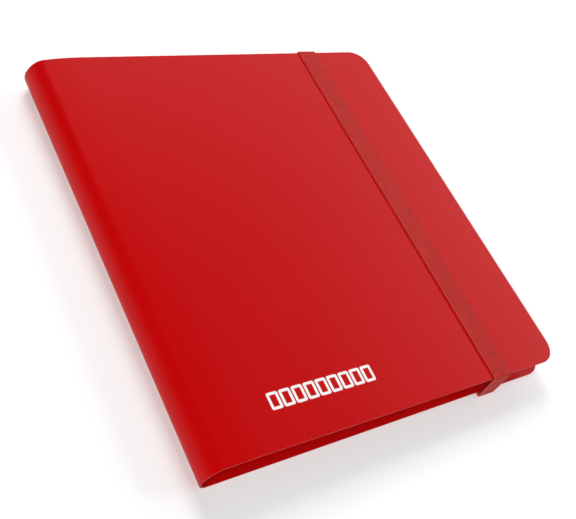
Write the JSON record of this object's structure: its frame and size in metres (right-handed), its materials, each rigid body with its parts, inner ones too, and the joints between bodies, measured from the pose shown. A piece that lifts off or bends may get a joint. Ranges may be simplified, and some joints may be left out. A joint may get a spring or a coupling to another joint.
{
  "type": "trading card binder",
  "caption": "Closed side-loading card binder: soft wrap cover with a rounded spine, leaves of clear pockets bound inside it, and an elastic strap round the free edge side.",
  "frame": {"origin": "on the surface that the closed binder lies on, under the middle of its width and height", "axes": "+X from the spine to the free edge, +Y towards the top end of the spine, +Z out of the front cover"},
  "size_m": [0.324, 0.343, 0.0304],
  "materials": {
    "cover": "satin red polypropylene sheet",
    "page": "matt black polypropylene sheet",
    "film": "clear polypropylene film",
    "strap": "woven elastic band, red",
    "clip": "plain steel strip"
  },
  "bodies": {
    "back": {"back_cover": "cover", "lower_bend": "cover", "strap_tail_bottom": "strap", "strap_tail_top": "strap", "strap_clip_bottom": "clip", "strap_clip_top": "clip"},
    "spine": {"spine_panel": "cover", "upper_bend": "cover", "binding_bar": "page", "page_margins": "page"},
    "front": {"front_cover": "cover"},
    "page_01": {"page_01_sheet": "page", "page_01_pockets": "film"},
    "page_02": {"page_02_sheet": "page", "page_02_pockets": "film"},
    "page_03": {"page_03_sheet": "page", "page_03_pockets": "film"},
    "page_04": {"page_04_sheet": "page", "page_04_pockets": "film"},
    "page_05": {"page_05_sheet": "page", "page_05_pockets": "film"},
    "page_06": {"page_06_sheet": "page", "page_06_pockets": "film"},
    "page_07": {"page_07_sheet": "page", "page_07_pockets": "film"},
    "page_08": {"page_08_sheet": "page", "page_08_pockets": "film"},
    "page_09": {"page_09_sheet": "page", "page_09_pockets": "film"},
    "page_10": {"page_10_sheet": "page", "page_10_pockets": "film"},
    "page_11": {"page_11_sheet": "page", "page_11_pockets": "film"},
    "page_12": {"page_12_sheet": "page", "page_12_pockets": "film"},
    "page_13": {"page_13_sheet": "page", "page_13_pockets": "film"},
    "page_14": {"page_14_sheet": "page", "page_14_pockets": "film"},
    "page_15": {"page_15_sheet": "page", "page_15_pockets": "film"},
    "page_16": {"page_16_sheet": "page", "page_16_pockets": "film"},
    "page_17": {"page_17_sheet": "page", "page_17_pockets": "film"},
    "page_18": {"page_18_sheet": "page", "page_18_pockets": "film"},
    "page_19": {"page_19_sheet": "page", "page_19_pockets": "film"},
    "page_20": {"page_20_sheet": "page", "page_20_pockets": "film"},
    "strap": {"strap_front": "strap", "strap_leg_bottom": "strap", "strap_leg_top": "strap"}
  },
  "joints": [
    {"name": "spine_fold", "type": "hinge", "parent": "back", "child": "spine", "pos_m": [-0.15973, 0, 0.00367], "axis": [0, -1, 0], "range_deg": [0, 90], "deforming": ["lower_bend"]},
    {"name": "cover_fold", "type": "hinge", "parent": "spine", "child": "front", "pos_m": [-0.15835, 0, 0.02701], "axis": [0, -1, 0], "range_deg": [0, 91.45], "deforming": ["upper_bend"]},
    {"name": "page_01_turn", "type": "hinge", "parent": "spine", "child": "page_01", "pos_m": [-0.15603, 0, 0.00783], "axis": [0, -1, 0], "range_deg": [-89.91, 0]},
    {"name": "page_02_turn", "type": "hinge", "parent": "spine", "child": "page_02", "pos_m": [-0.15523, 0, 0.00868], "axis": [0, -1, 0], "range_deg": [-89.53, 0]},
    {"name": "page_03_turn", "type": "hinge", "parent": "spine", "child": "page_03", "pos_m": [-0.15443, 0, 0.00953], "axis": [0, -1, 0], "range_deg": [-88.54, 0]},
    {"name": "page_04_turn", "type": "hinge", "parent": "spine", "child": "page_04", "pos_m": [-0.15363, 0, 0.01038], "axis": [0, -1, 0], "range_deg": [-87.05, 0]},
    {"name": "page_05_turn", "type": "hinge", "parent": "spine", "child": "page_05", "pos_m": [-0.15283, 0, 0.01123], "axis": [0, -1, 0], "range_deg": [-85.09, 0]},
    {"name": "page_06_turn", "type": "hinge", "parent": "spine", "child": "page_06", "pos_m": [-0.15203, 0, 0.01208], "axis": [0, -1, 0], "range_deg": [-82.69, 0]},
    {"name": "page_07_turn", "type": "hinge", "parent": "spine", "child": "page_07", "pos_m": [-0.15123, 0, 0.01293], "axis": [0, -1, 0], "range_deg": [-79.87, 0]},
    {"name": "page_08_turn", "type": "hinge", "parent": "spine", "child": "page_08", "pos_m": [-0.15043, 0, 0.01378], "axis": [0, -1, 0], "range_deg": [-76.65, 0]},
    {"name": "page_09_turn", "type": "hinge", "parent": "spine", "child": "page_09", "pos_m": [-0.14963, 0, 0.01463], "axis": [0, -1, 0], "range_deg": [-73.03, 0]},
    {"name": "page_10_turn", "type": "hinge", "parent": "spine", "child": "page_10", "pos_m": [-0.14883, 0, 0.01547], "axis": [0, -1, 0], "range_deg": [-69.04, 0]},
    {"name": "page_11_turn", "type": "hinge", "parent": "spine", "child": "page_11", "pos_m": [-0.14883, 0, 0.01632], "axis": [0, -1, 0], "range_deg": [0, 70.45]},
    {"name": "page_12_turn", "type": "hinge", "parent": "spine", "child": "page_12", "pos_m": [-0.14963, 0, 0.01717], "axis": [0, -1, 0], "range_deg": [0, 74.44]},
    {"name": "page_13_turn", "type": "hinge", "parent": "spine", "child": "page_13", "pos_m": [-0.15043, 0, 0.01802], "axis": [0, -1, 0], "range_deg": [0, 78.06]},
    {"name": "page_14_turn", "type": "hinge", "parent": "spine", "child": "page_14", "pos_m": [-0.15123, 0, 0.01887], "axis": [0, -1, 0], "range_deg": [0, 81.28]},
    {"name": "page_15_turn", "type": "hinge", "parent": "spine", "child": "page_15", "pos_m": [-0.15203, 0, 0.01972], "axis": [0, -1, 0], "range_deg": [0, 84.1]},
    {"name": "page_16_turn", "type": "hinge", "parent": "spine", "child": "page_16", "pos_m": [-0.15283, 0, 0.02057], "axis": [0, -1, 0], "range_deg": [0, 86.5]},
    {"name": "page_17_turn", "type": "hinge", "parent": "spine", "child": "page_17", "pos_m": [-0.15363, 0, 0.02142], "axis": [0, -1, 0], "range_deg": [0, 88.46]},
    {"name": "page_18_turn", "type": "hinge", "parent": "spine", "child": "page_18", "pos_m": [-0.15443, 0, 0.02227], "axis": [0, -1, 0], "range_deg": [0, 89.95]},
    {"name": "page_19_turn", "type": "hinge", "parent": "spine", "child": "page_19", "pos_m": [-0.15523, 0, 0.02312], "axis": [0, -1, 0], "range_deg": [0, 90.94]},
    {"name": "page_20_turn", "type": "hinge", "parent": "spine", "child": "page_20", "pos_m": [-0.15603, 0, 0.02397], "axis": [0, -1, 0], "range_deg": [0, 91.33]},
    {"name": "strap_release", "type": "slide", "parent": "back", "child": "strap", "axis": [0, 0, -1], "range_m": [0, 0.02597], "deforming": ["strap_front", "strap_leg_bottom", "strap_leg_top"]}
  ],
  "couplings": [
    {"joint": "cover_fold", "follows": "spine_fold", "ratio": 1.0161},
    {"joint": "page_01_turn", "follows": "spine_fold", "ratio": -0.99904},
    {"joint": "page_02_turn", "follows": "spine_fold", "ratio": -0.99472},
    {"joint": "page_03_turn", "follows": "spine_fold", "ratio": -0.98377},
    {"joint": "page_04_turn", "follows": "spine_fold", "ratio": -0.96719},
    {"joint": "page_05_turn", "follows": "spine_fold", "ratio": -0.94543},
    {"joint": "page_06_turn", "follows": "spine_fold", "ratio": -0.91879},
    {"joint": "page_07_turn", "follows": "spine_fold", "ratio": -0.88748},
    {"joint": "page_08_turn", "follows": "spine_fold", "ratio": -0.85167},
    {"joint": "page_09_turn", "follows": "spine_fold", "ratio": -0.81149},
    {"joint": "page_10_turn", "follows": "spine_fold", "ratio": -0.76706},
    {"joint": "page_11_turn", "follows": "spine_fold", "ratio": 0.78274},
    {"joint": "page_12_turn", "follows": "spine_fold", "ratio": 0.82716},
    {"joint": "page_13_turn", "follows": "spine_fold", "ratio": 0.86734},
    {"joint": "page_14_turn", "follows": "spine_fold", "ratio": 0.90316},
    {"joint": "page_15_turn", "follows": "spine_fold", "ratio": 0.93447},
    {"joint": "page_16_turn", "follows": "spine_fold", "ratio": 0.96111},
    {"joint": "page_17_turn", "follows": "spine_fold", "ratio": 0.98287},
    {"joint": "page_18_turn", "follows": "spine_fold", "ratio": 0.99945},
    {"joint": "page_19_turn", "follows": "spine_fold", "ratio": 1.0104},
    {"joint": "page_20_turn", "follows": "spine_fold", "ratio": 1.0147},
    {"joint": "strap_release", "follows": "spine_fold", "m_per_rad": 0.01653}
  ]
}
